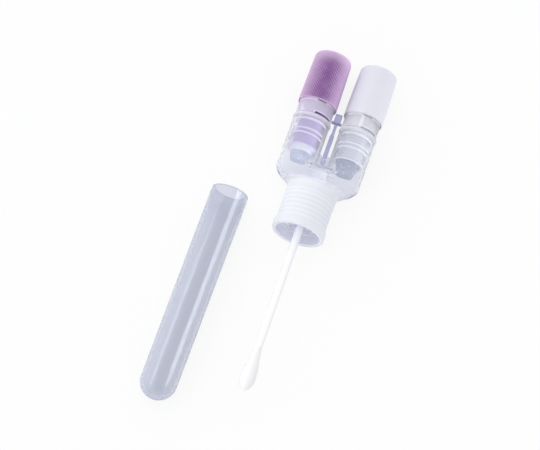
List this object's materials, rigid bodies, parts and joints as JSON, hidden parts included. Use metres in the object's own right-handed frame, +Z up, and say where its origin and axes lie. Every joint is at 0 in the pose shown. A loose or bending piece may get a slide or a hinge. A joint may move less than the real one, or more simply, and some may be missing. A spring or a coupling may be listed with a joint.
{
  "type": "specimen swab tube",
  "caption": "Swab in a flared collar with twin reagent barrels under ribbed press caps, lying beside the clear round-bottomed test tube that the collar takes.",
  "frame": {"origin": "on the resting surface, under the middle of the bounding box of the holder and the tube together", "axes": "+Y along the holder from its collar to its caps, +X from the test tube to the holder, +Z up"},
  "size_m": [0.046, 0.1294, 0.0174],
  "materials": {
    "tube_plastic": "clear, polished",
    "body_plastic": "clear with a milky collar",
    "stick_plastic": "smooth, white",
    "bud_fibre": "wound white fibre",
    "key_plastic": "translucent blue-lilac",
    "purple_plastic": "satin, finely ribbed, slightly translucent",
    "natural_plastic": "satin, finely ribbed, translucent",
    "vial_plastic": "clear",
    "plug_plastic": "semi-translucent grey-blue",
    "reagent": "clear liquid"
  },
  "bodies": {
    "holder": {"test_tube": "tube_plastic", "twin_barrel_body": "body_plastic", "swab_stick": "stick_plastic", "swab_bud": "bud_fibre", "centre_key": "key_plastic", "purple_side_vial": "vial_plastic", "white_side_vial": "vial_plastic"},
    "purple_press": {"purple_cap": "purple_plastic", "purple_side_reagent": "reagent"},
    "white_press": {"white_cap": "natural_plastic", "white_side_reagent": "reagent"},
    "purple_plug": {"purple_side_plug": "plug_plastic"},
    "white_plug": {"white_side_plug": "plug_plastic"}
  },
  "joints": [
    {"name": "purple_cap_press", "type": "slide", "parent": "holder", "child": "purple_press", "axis": [0, -0.9991, 0.0427], "range_m": [0, 0.003]},
    {"name": "white_cap_press", "type": "slide", "parent": "holder", "child": "white_press", "axis": [0, -0.9991, 0.0427], "range_m": [0, 0.003]},
    {"name": "purple_plug_slide", "type": "slide", "parent": "holder", "child": "purple_plug", "axis": [0, -0.9991, 0.0427], "range_m": [0, 0.003]},
    {"name": "white_plug_slide", "type": "slide", "parent": "holder", "child": "white_plug", "axis": [0, -0.9991, 0.0427], "range_m": [0, 0.003]}
  ],
  "couplings": [
    {"joint": "purple_plug_slide", "follows": "purple_cap_press", "ratio": 1},
    {"joint": "white_plug_slide", "follows": "white_cap_press", "ratio": 1}
  ]
}
